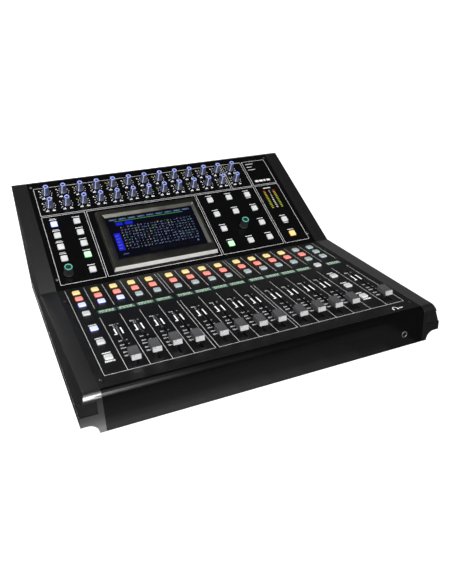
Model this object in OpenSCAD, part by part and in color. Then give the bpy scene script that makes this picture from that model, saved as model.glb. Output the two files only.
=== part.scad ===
// Compact digital mixing console: a low fader deck, a raised tilted panel and two end cheeks.
// +X is to the operator's right, +Y is away from the operator and +Z is up. The origin is at the
// centre of the bounding box on the floor. All sizes are in millimetres.

/* [Body] */
// Width of the body between the two cheeks
body_w = 444; // [440:1:450]
// Height of the deck's top face over the floor, at the front face
front_h = 52; // [48:1:58]
// Length of the fader deck along its slope, from the front face to the bend
deck_len = 276; // [272:1:284]
// Slope of the fader deck
deck_tilt = 4; // [3:0.5:5]
// Length of the upper panel's slope, from the bend to the rear edge
panel_len = 230; // [228:1:236]
// Slope of the upper panel
panel_tilt = 33.7; // [32:0.1:35]
// Thickness of the two top panels and of the tray
sheet = 2; // [1.5:0.1:2]
// Radius of the rounded front edge
nose_r = 9; // [7:0.5:10]
// Height of the rubber feet
foot_h = 2; // [2:0.5:4]

/* [Cheeks] */
// Width of a cheek from the body's side to its lip
cheek_w = 28; // [26:0.5:30]
// How much narrower the cheek's lip is at the rear than at the front
lip_taper = 7.5; // [0:0.5:9]
// How far the top ridge stands in from the lip at the front
ridge_in_front = 9; // [6:0.5:10]
// How far the top ridge stands in from the front of the lip at the bend and behind it
ridge_in_rear = 4.2; // [3:0.1:6]
// Thickness of the cheek's inner wall
cheek_wall = 6.6; // [5:0.2:8]
// Thickness of the cheek's top plate
cheek_top = 9; // [7:0.5:10]
// Radius of the scallop cut along the bottom outer corner
scallop_r = 12.4; // [10:0.2:13]
// Height of the lip's vertical edge
lip_h = 12.4; // [10:0.2:13]

/* [Strips] */
// Pitch of the channel strips
strip = 27.5; // [27:0.1:28]
// Extra gap between the banks of four strips, as a share of the pitch
bank_gap = 0.18; // [0.1:0.02:0.2]
// Distance from the front face to the front line of the printed frame
frame_margin = 30.5; // [29:0.5:32]
// Length of the printed frame along the deck
frame_len = 240; // [236:1:241]

/* [Keys] */
// Side of a key cap
key_side = 10; // [9:0.2:12]
// Height of a key cap over its panel
key_out = 2.2; // [2:0.2:3]
// Distance that a key travels
key_travel = 1.5; // [1:0.1:1.6]
// Distance from the frame's front line to the first of the three rows over the displays
key_row_y = 184.3; // [183:0.1:186]
// Pitch of those three rows
key_row_pitch = 20.75; // [20:0.05:21]

/* [Faders] */
// Travel of a fader
fader_travel = 100; // [90:1:100]
// Distance from the frame's front line to the middle of a cap at the bottom of its travel
fader_low_y = 12.4; // [12:0.1:14]
// How far up its travel a fader stands
fader_stand = 12; // [6:1:50]
// Width of a fader cap
cap_w = 12; // [10:0.1:13]
// Length of a fader cap
cap_len = 20.8; // [18:0.2:24]
// Height of a cap's rear edge over the deck
cap_h = 13.6; // [11:0.2:15]
// Height of a cap's front ridge over the deck
ridge_h = 12.2; // [10:0.2:13]
// Width of the slot in the deck
slot_w = 2.8; // [2.6:0.1:3.2]

/* [Knobs] */
// Pitch of the rotary knobs along a row
knob_pitch = 27.8; // [27.4:0.1:28]
// Height of a knob over the panel
knob_h = 16.5; // [14:0.5:18]
// Radius of a knob's skirt
knob_r = 6.8; // [6:0.1:7.4]
// Radius of a knob's top
knob_top_r = 4.3; // [3.8:0.1:5]
// Height of an encoder knob over the panel
encoder_h = 17.5; // [15:0.5:19]
// Radius of an encoder knob's skirt
encoder_r = 7.4; // [7.2:0.1:9]
// Radius of an encoder knob's top
encoder_top_r = 6.2; // [5:0.1:7]

/* [Screen] */
// Width of the raised bezel
bezel_w = 174; // [170:0.2:178]
// Length of the raised bezel up the panel
bezel_l = 122; // [118:0.5:124]
// Height of the bezel over the panel
bezel_h = 8; // [5:0.5:9]
// Width of the opening over the display
window_w = 150; // [146:0.5:152]
// Length of the opening over the display
window_l = 85; // [84:0.5:88]

/* [Hidden] */
$fn = 48;

// The body in side view, measured from the front face
bend_y = deck_len * cos(deck_tilt);
bend_z = front_h + deck_len * sin(deck_tilt);
rear_y = bend_y + panel_len * cos(panel_tilt);
rear_edge_r = 3;
front_out = 1.2;
rear_out = 2;
depth = front_out + rear_y + rear_out;
front_y = front_out - depth / 2;
half_w = body_w / 2;
seam = 0.4;
rear_lip = 7;
panel_flange = 14;

// Strips: columns 0 and 13 hold keys only, 14 is the master strip
strips = 12;
frame_w = (strips + 3 + 2 * bank_gap) * strip;
key_gap = 0.6;
key_flange = 1.2;
key_side_rows = [36, 74, 111, 157];
display_y = 154;
display_win = [24.8, 9.6];

// Fader parts under the deck
lever_t = 1.2;
lever_w = 6;
lever_top = 6;
slot_end = 2;
carriage = [8, 10, 5];
carriage_top = -11;
track_w = 13;
track_wall = 1.2;
track_top = -3.4;
track_floor = -20;
track_len = 124;

// Upper panel, measured from the bend and from the middle
knob_x0 = -195.8;
knobs = 13;
knob_rows = [196.8, 168.8];
shaft_r = 3;
shaft_gap = 0.5;
shaft_len = 9;
encoder_shaft = 8;
pot_r = 8;
left_key_x = [-197.5, -161.5];
left_key_y = [128.5, 104.8, 81.1, 57.5];
left_low_key_y = 27.5;
left_encoder = [-198, 27.4];
nav_x = [72, 108.2, 144.4];
nav_y = [27.9, 61.8, 95.7, 129.6];
nav_encoder = [107.9, 60.2];
meter_key_x = 188.4;
meter_key_y = [26.5, 60];
bezel_c = [-44.5, 75.5];
window_c = [-43, 78.3];
glass_edge = 4;
glass_up = 3.8;
board_under = -10;

// Rear wall
xlr_pitch = [27.5, 34];
xlr_r = 11;
input_x0 = -190;
input_z0 = 64;
input_cols = 8;
input_rows = 3;
output_x0 = 60;
output_cols = 4;
network_x = [186, 206];
network_z = 132;
network_body = [15.4, 14];
inlet_c = [190, 42];
inlet_body = [27, 19];
rocker_c = [150, 42];
rocker_r = 11;
rocker_w = 12;
rocker_tilt = 7;

// Headphone socket in the front face
jack_x = 189.5;
jack_z = 21;
jack_r = 3.3;
jack_depth = 28;

foot_r = 11;
foot_in = 40;
screw_x = half_w - 5.5;
screw_hole_r = 1.6;
cover_inset = 0.6;
cheek_screw_r = 2.6;
cheek_screw_sink = 1.2;

// Places of the screws: along the deck, up the panel, and along and up each cheek
deck_screw_y = [-7, 206];
panel_screw_y = [20, 215];
cheek_screw_yz = [[13, 36], [150, 40], [300, 60], [430, 60]];

// Cheeks in front view
lip_top = foot_h + scallop_r + lip_h;
lip_x = half_w + cheek_w;
ridge_front_x = lip_x - ridge_in_front;
ridge_rear_x = lip_x - ridge_in_rear;
top_sharp_z = panel_z(rear_y);

// Electronics on the tray's floor
board_t = 1.6;
main_board = [240, 200];
main_board_at = [-180, 190];
post_h = 8;
post_r = 4;
supply = [110, 150, 38];
supply_at = [90, 250];

body_grey = [0.07, 0.07, 0.075];
gloss_black = [0.02, 0.02, 0.022];
cheek_grey = [0.2, 0.2, 0.2];

FADERS = [for (i = [1:strips]) str("fader_", i < 10 ? "0" : "", i)];
GAINS = [for (i = [1:2 * strips]) str("gain_knob_", i < 10 ? "0" : "", i)];

// ---- Places ----

// Middle of a strip column across the deck
function strip_x(c) = (c + 0.5 + bank_gap * (c < 5 ? 0 : c < 9 ? 1 : 2)) * strip - frame_w / 2;

// How far up its travel a strip's fader stands: the first is a little lower and the third higher
function stand(c) = fader_stand + (c == 1 ? -6 : c == 3 ? 4.5 : 0);

function reverse(v) = [for (i = [len(v) - 1:-1:0]) v[i]];

function knob_x(i) = knob_x0 + i * knob_pitch;

// Outer edge of the cheek's lip at a distance behind the front face
function lip_at(y) = lip_x - lip_taper * y / rear_y;

// Height of the panel's top face at a distance behind the front face
function panel_z(y) = bend_z + (y - bend_y) * tan(panel_tilt);

function arc(c, r, a0, a1, n = 10) =
    [for (i = [0:n]) c + r * [cos(a0 + (a1 - a0) * i / n), sin(a0 + (a1 - a0) * i / n)]];

// The rounded front edge, set in from the outer face
function nose(in) = arc([nose_r, front_h + nose_r * tan(deck_tilt) - nose_r / cos(deck_tilt)],
    nose_r - in, 180, 90 + deck_tilt);

// The rounded rear edge, set in from the outer face
function rear_edge(in) = arc([rear_y - rear_edge_r,
    panel_z(rear_y - rear_edge_r) - rear_edge_r / cos(panel_tilt)],
    rear_edge_r - in, 90 + panel_tilt, 0);

// The bend's corner, set in along the line that halves its angle
function bend_point(in) =
    let (n1 = [-sin(deck_tilt), cos(deck_tilt)], n2 = [-sin(panel_tilt), cos(panel_tilt)])
    [bend_y, bend_z] - in * (n1 + n2) / (1 + n1 * n2);

// Outline of the whole body in side view, set in from its outer faces
function side_outline(in) = concat([[in, foot_h + in]], nose(in), [bend_point(in)],
    rear_edge(min(in, rear_edge_r - 0.5)), [[rear_y - in, foot_h + in]]);

// A distance along the deck, set down from its top face
function deck_point(s, down) = [0, front_h] + s * [cos(deck_tilt), sin(deck_tilt)]
    + down * [sin(deck_tilt), -cos(deck_tilt)];

// A distance up the panel, set down from its top face
function panel_point(t, down) = [bend_y, bend_z] + t * [cos(panel_tilt), sin(panel_tilt)]
    + down * [sin(panel_tilt), -cos(panel_tilt)];

// Runs an outline drawn in side view (Y, Z) across the body
module across(w, x0 = 0) {
    translate([x0 - w / 2, front_y, 0])
        rotate([90, 0, 90])
            linear_extrude(w)
                children();
}

// Local frame of the deck: Y from the printed frame's front line, Z out of the deck
module on_deck() {
    translate([0, front_y, front_h])
        rotate([deck_tilt, 0, 0])
            translate([0, frame_margin, 0])
                children();
}

// Local frame of the upper panel: Y from the bend, Z out of the panel
module on_panel() {
    translate([0, front_y + bend_y, bend_z])
        rotate([panel_tilt, 0, 0])
            children();
}

// Local frame of the rear wall: X as the body's, Y up, Z out of the wall
module on_rear() {
    translate([0, front_y + rear_y, 0])
        rotate([90, 0, 0])
            mirror([0, 0, 1])
                children();
}

module block(size, z0) {
    translate([-size[0] / 2, -size[1] / 2, z0])
        cube(size);
}

module both_sides() {
    children();
    mirror([1, 0, 0])
        children();
}

// ---- Places of the keys ----

module at_strip_keys(row, first, last) {
    on_deck()
        for (c = [first:last])
            translate([strip_x(c), key_row_y + row * key_row_pitch, 0])
                children();
}

module at_layer_keys() {
    on_deck() {
        for (c = [0, strips + 1], y = key_side_rows)
            translate([strip_x(c), y, 0])
                children();
        for (row = [0, 2])
            translate([strip_x(strips + 1), key_row_y + row * key_row_pitch, 0])
                children();
        for (row = [0:2])
            translate([strip_x(strips + 2), key_row_y + row * key_row_pitch, 0])
                children();
    }
}

module at_panel_keys() {
    on_panel() {
        for (x = left_key_x, y = left_key_y)
            translate([x, y, 0])
                children();
        translate([left_key_x[1], left_low_key_y, 0])
            children();
        for (col = [0:2], row = [0:3])
            if (col != 1 || row != 1)
                translate([nav_x[col], nav_y[row], 0])
                    children();
        for (y = meter_key_y)
            translate([meter_key_x, y, 0])
                children();
    }
}

module at_deck_keys() {
    at_strip_keys(2, 0, strips)
        children();
    at_strip_keys(1, 0, strips + 1)
        children();
    at_strip_keys(0, 0, strips)
        children();
    at_layer_keys()
        children();
}

module at_faders() {
    on_deck()
        for (c = [1:strips + 2])
            if (c != strips + 1)
                translate([strip_x(c), fader_low_y, 0])
                    children();
}

module at_displays() {
    on_deck()
        for (c = [1:strips + 2])
            if (c != strips + 1)
                translate([strip_x(c), display_y, 0])
                    children();
}

module at_knobs() {
    on_panel()
        for (i = [0:knobs - 1], y = knob_rows)
            translate([knob_x(i), y, 0])
                children();
}

module at_encoders() {
    on_panel()
        for (c = [left_encoder, nav_encoder])
            translate([c[0], c[1], 0])
                children();
}

// ---- Casing ----

module key_hole() {
    side = key_side + 2 * key_gap;
    block([side, side, 4 * sheet], -3 * sheet);
}

module deck_panel() {
    outer = concat([deck_point(deck_len - seam, 0)], reverse(nose(0)),
        [[0, foot_h], [panel_flange, foot_h], [panel_flange, foot_h + sheet],
         [sheet, foot_h + sheet]]);
    color(body_grey)
    difference() {
        across(body_w)
            polygon(concat(outer, nose(sheet), [deck_point(deck_len - seam, sheet)]));
        at_deck_keys()
            key_hole();
        at_faders()
            translate([-slot_w / 2, -lever_w / 2 - slot_end, -2 * sheet])
                cube([slot_w, fader_travel + lever_w + 2 * slot_end, 4 * sheet]);
        at_displays()
            block([display_win[0] + 0.4, display_win[1] + 0.4, 4 * sheet], -2 * sheet);
        deck_screws()
            cylinder(r = screw_hole_r, h = 4 * sheet, center = true);
        translate([jack_x, front_y, jack_z])
            rotate([90, 0, 0])
                cylinder(r = 4.7, h = 4 * sheet, center = true);
    }
}

module upper_panel() {
    color(gloss_black)
    difference() {
        on_panel()
            translate([-half_w, seam, -sheet])
                cube([body_w, panel_len - rear_lip - seam, sheet]);
        at_panel_keys()
            key_hole();
        at_knobs()
            cylinder(r = shaft_r + shaft_gap, h = 4 * sheet, center = true);
        at_encoders()
            cylinder(r = shaft_r + shaft_gap, h = 4 * sheet, center = true);
        on_panel()
            translate([window_c[0], window_c[1], 0])
                block([window_w + 2 * glass_edge, window_l + 2 * glass_edge, 4 * sheet], -2 * sheet);
        panel_corner_screws()
            cylinder(r = screw_hole_r, h = 4 * sheet, center = true);
    }
}

// Side view of the tray: under the two panels, with the rear edge flush with the upper one
function tray_outline() = concat(
    [[panel_flange, foot_h], [panel_flange, foot_h + sheet], [sheet, foot_h + sheet]], nose(sheet),
    [bend_point(sheet), panel_point(panel_len - rear_lip, sheet), panel_point(panel_len - rear_lip, 0)],
    rear_edge(0), [[rear_y, foot_h]]);

// Side view of the space inside it, open at the top but for the rail under the bend and the
// ledge that the upper panel's rear edge rests on
function tray_space() =
    let (rail = 12, over = -20, ledge = panel_len - rear_lip - 2)
        [[over, foot_h + sheet], [over, front_h - over],
         deck_point(deck_len - rail, over), deck_point(deck_len - rail, 2 * sheet),
         bend_point(2 * sheet), panel_point(rail, 2 * sheet), panel_point(rail, over),
         panel_point(ledge, over), panel_point(ledge, 2 * sheet),
         [rear_y - sheet, panel_z(rear_y) - 3 * sheet], [rear_y - sheet, foot_h + sheet]];

// Bottom, inner sides, rear wall with its folded top lip, and a rail under the bend
module chassis_tray() {
    color([0.16, 0.16, 0.17])
    difference() {
        across(body_w)
            polygon(tray_outline());
        across(body_w - 2 * sheet)
            polygon(tray_space());
        on_rear()
            socket_holes();
    }
}

// ---- Cheeks ----

// Section of the cheek over its lip, at a distance behind the front face
module cheek_slice(y, ridge_x, z) {
    thin = 0.01;
    translate([0, front_y + y, 0])
        rotate([90, 0, 0])
            linear_extrude(thin)
                polygon([[half_w, lip_top], [lip_at(y), lip_top], [ridge_x, z], [half_w, z]]);
}

// The cheek's upper part between its slanted outer face and the body's side
module cheek_bulk() {
    hull() {
        cheek_slice(0, ridge_front_x, front_h);
        cheek_slice(bend_y, ridge_rear_x, bend_z);
    }
    hull() {
        cheek_slice(bend_y, ridge_rear_x, bend_z);
        cheek_slice(rear_y, ridge_rear_x, top_sharp_z);
    }
}

// Side view of the pocket over the lip, open to the front
function pocket_outline(in) =
    let (top = cheek_top + in, up = lip_top + in)
    [[-1, up], [-1, front_h - top], deck_point(nose_r, top), bend_point(top),
     panel_point(panel_len - cheek_top / cos(panel_tilt) - in, top), [rear_y - cheek_wall - in, up]];

module cheek_body() {
    difference() {
        intersection() {
            cheek_bulk();
            across(3 * cheek_w, half_w + cheek_w)
                polygon(side_outline(0));
        }
        across(2 * cheek_w, half_w + cheek_wall + cheek_w)
            polygon(pocket_outline(0));
    }
    translate([half_w, front_y, 0])
        cheek_base();
}

// Lip and scalloped foot, with the lip's edge cut back towards the rear
module cheek_base() {
    foot_w = cheek_w - ridge_in_front - scallop_r + 1;
    intersection() {
        translate([0, rear_y, 0])
            rotate([90, 0, 0])
                linear_extrude(rear_y)
                    difference() {
                        translate([0, foot_h])
                            square([cheek_w, scallop_r + lip_h]);
                        translate([foot_w + scallop_r, foot_h])
                            circle(r = scallop_r);
                        translate([foot_w + scallop_r, foot_h - 1])
                            square([cheek_w, scallop_r + 1]);
                    }
        linear_extrude(2 * lip_top)
            polygon([[-1, -1], [cheek_w + lip_taper / rear_y, -1],
                [cheek_w - lip_taper * (1 + 1 / rear_y), rear_y + 1], [-1, rear_y + 1]]);
    }
}

module side_cheeks() {
    color(cheek_grey)
    difference() {
        both_sides()
            cheek_body();
        cheek_screws()
            cylinder(r = screw_hole_r, h = 50, center = true);
    }
}

module cheek_covers() {
    gap = 0.3;
    front_set = 1;
    color([0.11, 0.11, 0.115])
    difference() {
        both_sides()
            intersection() {
                translate([-cover_inset, 0, 0])
                    cheek_bulk();
                across(cheek_w, half_w + cheek_wall + cheek_w / 2)
                    polygon(pocket_outline(gap));
                translate([half_w, front_y + front_set, 0])
                    cube([cheek_w, rear_y, top_sharp_z]);
            }
        cheek_screws() {
            cylinder(r = screw_hole_r, h = 50, center = true);
            cylinder(r = cheek_screw_r + 0.3, h = 10);
        }
    }
}

// ---- Screen and displays ----

module screen_bezel() {
    draft = 2;
    slope = 4.8;
    edge_h = glass_up + 0.2;
    color([0.2, 0.2, 0.17])
    on_panel()
        difference() {
            translate([bezel_c[0], bezel_c[1], 0])
                hull() {
                    block([bezel_w, bezel_l, 0.1 * bezel_h], 0);
                    block([bezel_w - 2 * draft, bezel_l - 2 * draft, bezel_h], 0);
                }
            translate([window_c[0], window_c[1], 0]) {
                block([window_w, window_l, 3 * bezel_h], -bezel_h);
                hull() {
                    block([window_w, window_l, 0.1], edge_h);
                    block([window_w + 2 * slope, window_l + 2 * slope, 1], bezel_h);
                }
            }
        }
}

// A glass that stands up through the panel into the bezel, with the display and its driver behind it
module touch_screen() {
    gap = 0.4;
    deep = 8;
    color([0.05, 0.06, 0.16])
    on_panel()
        translate([window_c[0], window_c[1], 0]) {
            block([window_w - gap, window_l - gap, sheet + glass_up], -sheet);
            block([window_w + 2 * glass_edge - gap, window_l + 2 * glass_edge - gap, sheet], -sheet);
            block([window_w + 4 * glass_edge, window_l + 4 * glass_edge, deep], -sheet - deep);
        }
}

module channel_displays() {
    color([0.2, 0.24, 0.2])
    at_displays() {
        block([display_win[0], display_win[1], sheet], -sheet - 0.2);
        block([display_win[0] - 0.2, display_win[1] + 5, 3], -sheet - 3.2);
    }
}

// ---- Screws ----

module deck_screws() {
    on_deck()
        for (x = [-screw_x, screw_x], y = deck_screw_y)
            translate([x, y, 0])
                children();
}

module panel_corner_screws() {
    on_panel()
        for (x = [-screw_x, screw_x], y = panel_screw_y)
            translate([x, y, 0])
                children();
}

// Where the cover's leaning outer face lies, at a distance behind the front face and a height
function cover_x(y, z) =
    let (ridge = y < bend_y ? ridge_front_x + (ridge_rear_x - ridge_front_x) * y / bend_y : ridge_rear_x,
         top = y < bend_y ? front_h + y * tan(deck_tilt) : panel_z(y))
    lip_at(y) - cover_inset - (lip_at(y) - ridge) * (z - lip_top) / (top - lip_top);

// Places of the screws that hold the cheeks, sunk in the covers and pointing out of each side
// $reach is the distance from under each screw's head to just outside the body's side
module cheek_screws() {
    both_sides()
        for (p = cheek_screw_yz) {
            x = cover_x(p[0], p[1]) - cheek_screw_sink;
            $reach = x - half_w - 0.5;
            translate([x, front_y + p[0], p[1]])
                rotate([0, 90, 0])
                    children();
        }
}

module screw(head_r, shank) {
    difference() {
        rotate_extrude()
            polygon([[0, -shank], [1.5, -shank], [1.5, 0], [head_r, 0], [head_r, 0.5],
                [0.7 * head_r, 1], [0, 1.15]]);
        block([1.6 * head_r, 0.6, 1], 0.5);
    }
}

module panel_screws() {
    color([0.45, 0.45, 0.45]) {
        deck_screws()
            screw(2.3, 4);
        panel_corner_screws()
            screw(2.3, 4);
        cheek_screws()
            screw(cheek_screw_r, $reach);
    }
}

// ---- Keys ----

module rounded_square(side, r) {
    inner = side - 2 * r;
    square([side, inner], center = true);
    square([inner, side], center = true);
    for (x = [-inner / 2, inner / 2], y = [-inner / 2, inner / 2])
        translate([x, y])
            circle(r = r, $fn = 24);
}

// A cap in its hole, with the flange under the panel that stops it from coming out
module key() {
    stem = sheet + key_flange + key_travel - 0.5;
    wide = key_side + 2 * key_flange;
    translate([0, 0, -stem])
        linear_extrude(stem + key_out)
            rounded_square(key_side, 1.2);
    block([wide, wide, key_flange], -stem);
}

module mix_keys() {
    color([0.96, 0.84, 0.5])
    at_strip_keys(2, 0, strips)
        key();
}

module mute_keys() {
    color([0.98, 0.5, 0.45])
    at_strip_keys(1, 0, strips + 1)
        key();
}

module select_keys() {
    color([0.8, 0.82, 0.84])
    at_strip_keys(0, 0, strips)
        key();
}

module layer_keys() {
    color([0.78, 0.78, 0.78])
    at_layer_keys()
        key();
}

module panel_keys() {
    color([0.82, 0.82, 0.8])
    at_panel_keys()
        key();
}

// ---- Faders ----

// Side view of a cap about its middle: a steep light front under a long, slightly hollowed top
function cap_outline() =
    let (low = 5, edge = 0.6, back = cap_len / 2, ridge = 1.7 - back, top = back - 1, hollow = 0.8)
    concat([[-back, low + edge], [ridge, ridge_h]],
        [for (i = [1:5]) let (k = i / 6)
            [ridge + k * (top - ridge), ridge_h + k * (cap_h - ridge_h) - hollow * sin(180 * k)]],
        [[top, cap_h], [back, low + edge], [back - edge, low], [edge - back, low]]);

module fader_at(c) {
    on_deck()
        translate([strip_x(c), fader_low_y + stand(c), 0]) {
            color([0.3, 0.3, 0.32])
            translate([-cap_w / 2, 0, 0])
                rotate([90, 0, 90])
                    linear_extrude(cap_w)
                        polygon(cap_outline());
            color([0.7, 0.7, 0.72])
            block([lever_t, lever_w, lever_top - carriage_top], carriage_top - 0.5);
            color([0.15, 0.15, 0.15])
            block(carriage, carriage_top - carriage[2]);
        }
}

// Slide channels open at the top, each with its motor under the far end
module fader_tracks() {
    motor = [16, 24, 18];
    color([0.55, 0.56, 0.58])
    at_faders()
        translate([0, fader_travel / 2, 0]) {
            difference() {
                block([track_w, track_len, track_top - track_floor], track_floor);
                block([track_w - 2 * track_wall, track_len - 2 * track_wall, 20],
                    track_floor + track_wall);
            }
            translate([0, track_len / 2 - motor[1] / 2, 0])
                block(motor, track_floor - motor[2]);
        }
}

// ---- Rotary controls ----

module turned(skirt_r, top_r, h, shaft) {
    foot = 1;
    step = 0.16 * h;
    rotate_extrude()
        polygon([[0, -shaft], [shaft_r, -shaft], [shaft_r, foot], [skirt_r, foot],
            [skirt_r, foot + step], [skirt_r - 1, foot + step + 0.6], [top_r, h - 0.5],
            [top_r - 0.5, h], [0, h]]);
}

module knob_at(column, row) {
    color([0.2, 0.22, 0.35])
    on_panel()
        translate([knob_x(column), knob_rows[row], 0])
            turned(knob_r, knob_top_r, knob_h, shaft_len);
}

module encoder_at(c) {
    color([0.15, 0.16, 0.16])
    on_panel()
        translate([c[0], c[1], 0])
            turned(encoder_r, encoder_top_r, encoder_h, encoder_shaft);
}

// ---- Electronics ----

module pot() {
    difference() {
        translate([0, 0, -sheet - 9])
            cylinder(r = pot_r, h = 9);
        translate([0, 0, -shaft_len - 1])
            cylinder(r = shaft_r + shaft_gap, h = shaft_len + 1);
    }
}

module board(x0, y0, x1, y1, z0) {
    translate([x0, y0, z0])
        cube([x1 - x0, y1 - y0, board_t]);
}

// Boards under both panels, with the bodies that the knobs and encoders turn in
module panel_boards() {
    side_w = strip / 2 - 3;
    pot_under = -sheet - 9 - board_t;
    color([0.08, 0.3, 0.16]) {
        on_deck() {
            board(-frame_w / 2, key_row_y - 14, frame_w / 2, key_row_y + 52, board_under);
            for (c = [0, strips + 1])
                board(strip_x(c) - side_w, 20, strip_x(c) + side_w, key_row_y - 16, board_under);
        }
        on_panel() {
            board(-212, knob_rows[1] - 14, 160, knob_rows[0] + 14, pot_under);
            board(-212, 14, -142, 142, board_under);
            board(54, 14, 212, 142, board_under);
        }
    }
    color([0.5, 0.52, 0.54]) {
        at_knobs()
            pot();
        at_encoders()
            difference() {
                translate([0, 0, board_under + board_t])
                    cylinder(r = pot_r, h = -board_under - board_t - sheet);
                cylinder(r = shaft_r + shaft_gap, h = 4 * shaft_len, center = true);
            }
    }
}

// The main board on its four posts, and the power supply, on the tray's floor
module control_boards() {
    panel_boards();
    color([0.08, 0.3, 0.16])
    translate([main_board_at[0], front_y + main_board_at[1], foot_h + sheet]) {
        translate([0, 0, post_h])
            cube([main_board[0], main_board[1], board_t]);
        for (x = [2 * post_r, main_board[0] - 2 * post_r], y = [2 * post_r, main_board[1] - 2 * post_r])
            translate([x, y, 0])
                cylinder(r = post_r, h = post_h);
    }
    color([0.6, 0.6, 0.6])
    translate([supply_at[0], front_y + supply_at[1], foot_h + sheet])
        cube(supply);
}

// ---- Sockets ----

module at_inputs() {
    for (i = [0:input_cols - 1], j = [0:input_rows - 1])
        translate([input_x0 + i * xlr_pitch[0], input_z0 + j * xlr_pitch[1], 0])
            children();
}

module at_outputs() {
    for (i = [0:output_cols - 1], j = [1:2])
        translate([output_x0 + i * xlr_pitch[0], input_z0 + j * xlr_pitch[1], 0])
            children();
}

module at_network() {
    for (x = network_x)
        translate([x, network_z, 0])
            children();
}

module socket_holes() {
    through = 3 * sheet;
    at_inputs()
        cylinder(r = xlr_r + 0.2, h = through, center = true);
    at_outputs()
        cylinder(r = xlr_r + 0.2, h = through, center = true);
    at_network()
        block([network_body[0] + 0.4, network_body[1] + 0.4, through], -through / 2);
    translate([inlet_c[0], inlet_c[1], 0])
        block([inlet_body[0] + 0.4, inlet_body[1] + 0.4, through], -through / 2);
    translate([rocker_c[0], rocker_c[1], 0])
        block([rocker_w + 4.4, 2 * rocker_r + 4.4, through], -through / 2);
}

module xlr_flange() {
    block([26, 31, rear_out], 0);
    translate([0, 0, -22])
        cylinder(r = xlr_r, h = 22);
}

// Three contacts on a circle, the third at the bottom
module contacts() {
    for (a = [30, 150, 270])
        rotate(a)
            translate([4.9, 0, 0])
                children();
}

module input_socket() {
    groove_depth = 12;
    difference() {
        xlr_flange();
        translate([0, 0, rear_out - groove_depth])
            difference() {
                cylinder(r = 9.7, h = groove_depth + 1);
                translate([0, 0, -1])
                    cylinder(r = 7.9, h = groove_depth + 3);
            }
        contacts()
            translate([0, 0, rear_out - 9])
                cylinder(r = 1.4, h = 10, $fn = 16);
    }
}

module output_socket() {
    cup_depth = 15;
    difference() {
        xlr_flange();
        translate([0, 0, rear_out - cup_depth])
            cylinder(r = 9.5, h = cup_depth + 1);
    }
    contacts()
        translate([0, 0, rear_out - cup_depth - 1])
            cylinder(r = 1.2, h = cup_depth - 1, $fn = 16);
}

module network_socket() {
    difference() {
        union() {
            block([network_body[0], network_body[1], 16], -16);
            block([network_body[0] + 2.4, network_body[1] + 2.4, 1], 0);
        }
        block([11.8, 8.4, 14], -12);
    }
}

module mains_inlet() {
    difference() {
        union() {
            block([inlet_body[0], inlet_body[1], 24], -24);
            block([inlet_body[0] + 5, inlet_body[1] + 4, rear_out], 0);
        }
        block([23, 15.4, 20], rear_out - 18);
    }
    for (p = [[-7, -1], [7, -1], [0, 3]])
        translate([p[0], p[1], 0])
            block([2, 4, 15], rear_out - 18);
}

module rocker_frame() {
    difference() {
        union() {
            block([rocker_w + 4, 2 * rocker_r + 4, 16], -16);
            block([rocker_w + 7, 2 * rocker_r + 7, 1.2], 0);
        }
        block([rocker_w + 1.2, 2 * rocker_r + 1.2, 20], -14);
    }
}

// Blind bore for a 6.35 mm plug, with a ring that stands proud of the front face
module headphone_socket() {
    translate([jack_x, front_y, jack_z])
        rotate([90, 0, 0])
            difference() {
                union() {
                    cylinder(r = 5, h = front_out);
                    translate([0, 0, -sheet])
                        cylinder(r = 4.6, h = sheet);
                    block([13, 13, 30], -sheet - 30);
                }
                translate([0, 0, front_out - jack_depth])
                    cylinder(r = jack_r, h = jack_depth + 1);
            }
}

module sockets() {
    color([0.12, 0.12, 0.13])
    on_rear() {
        at_inputs()
            input_socket();
        at_outputs()
            output_socket();
        at_network()
            network_socket();
        translate([inlet_c[0], inlet_c[1], 0])
            mains_inlet();
        translate([rocker_c[0], rocker_c[1], 0])
            rocker_frame();
    }
    color([0.75, 0.75, 0.77])
    headphone_socket();
}

// A rocker with a round back about its pin, drawn with its lower half pressed in
module power_switch() {
    deep = 5;
    reach = rocker_r - 0.4;
    color([0.1, 0.1, 0.1])
    on_rear()
        translate([rocker_c[0], rocker_c[1], -deep])
            rotate([rocker_tilt, 0, 0]) {
                translate([rocker_w / 2, 0, 0])
                    rotate([0, -90, 0])
                        linear_extrude(rocker_w)
                            polygon([[0, -3.5], [0, 3.5], [deep - 1, reach], [deep, reach],
                                [deep - 1.6, 0], [deep, -reach], [deep - 1, -reach]]);
                rotate([0, 90, 0])
                    cylinder(r = 4.2, h = rocker_w, center = true);
            }
}

module rubber_feet() {
    color([0.05, 0.05, 0.05])
    for (x = [-190, 190], y = [foot_in, rear_y - foot_in])
        translate([x, front_y + y, 0])
            cylinder(r = foot_r, h = foot_h);
}

chassis_tray();
deck_panel();
upper_panel();
side_cheeks();
cheek_covers();
screen_bezel();
touch_screen();
channel_displays();
fader_tracks();
control_boards();
sockets();
rubber_feet();
panel_screws();
mix_keys();
mute_keys();
select_keys();
layer_keys();
panel_keys();
power_switch();
encoder_at(left_encoder);
encoder_at(nav_encoder);  // right_encoder
knob_at(strips, 0);  // monitor_knob
knob_at(strips, 1);  // phones_knob
fader_at(strips + 2);  // master_fader
for (i = [0:strips - 1])
    fader_at(i + 1);
for (i = [0:2 * strips - 1])
    knob_at(i % strips, floor(i / strips));
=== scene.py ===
"""Looks of a compact digital mixing console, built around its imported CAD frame.

Lengths in the code are millimetres in the local frames of the deck, the upper panel and the rear
wall, and become metres when a shape is finished.
"""
import math
import random

import bpy
from mathutils import Matrix, Vector


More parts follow.
